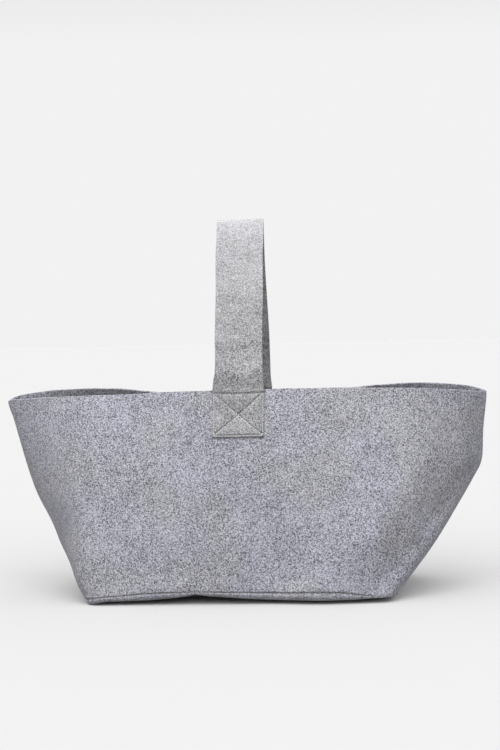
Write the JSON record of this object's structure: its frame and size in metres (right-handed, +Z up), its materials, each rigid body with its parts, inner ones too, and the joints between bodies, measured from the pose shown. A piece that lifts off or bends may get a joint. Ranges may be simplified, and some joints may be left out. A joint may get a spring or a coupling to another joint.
{
  "type": "felt storage basket",
  "caption": "Open boat-shaped felt basket with a flat base and one wide felt strap arching over the mouth as a carrying handle.",
  "frame": {"origin": "on the floor, under the middle of the bounding box", "axes": "+X along the mouth to the right tip, +Y to the back wall, +Z up"},
  "size_m": [0.6343, 0.2847, 0.491],
  "materials": {
    "felt": "soft marled grey felt",
    "strap_felt": "soft marled grey felt",
    "thread": "matte grey sewing thread"
  },
  "bodies": {
    "basket": {"wall": "felt", "base": "felt", "strap_front_end": "strap_felt", "strap_back_end": "strap_felt", "front_box_stitching": "thread", "back_box_stitching": "thread", "base_stitching": "thread", "lap_stitching": "thread"},
    "front_leg": {"strap_front_leg": "strap_felt"},
    "arch": {"strap_arch": "strap_felt"},
    "back_leg": {"strap_back_leg": "strap_felt"}
  },
  "joints": [
    {"name": "handle_sway", "type": "hinge", "parent": "basket", "child": "front_leg", "pos_m": [0, -0.07837, 0.27398], "axis": [1, 0, 0], "range_deg": [-70, 70], "stiffness_Nm_per_rad": 0.15},
    {"name": "arch_level", "type": "hinge", "parent": "front_leg", "child": "arch", "pos_m": [0, -0.07837, 0.32898], "axis": [1, 0, 0], "range_deg": [-70, 70]},
    {"name": "back_leg_sway", "type": "hinge", "parent": "arch", "child": "back_leg", "pos_m": [0, 0.05501, 0.31806], "axis": [1, 0, 0], "range_deg": [-70, 70]}
  ],
  "couplings": [
    {"joint": "arch_level", "follows": "handle_sway", "ratio": -1},
    {"joint": "back_leg_sway", "follows": "handle_sway", "ratio": 1}
  ]
}
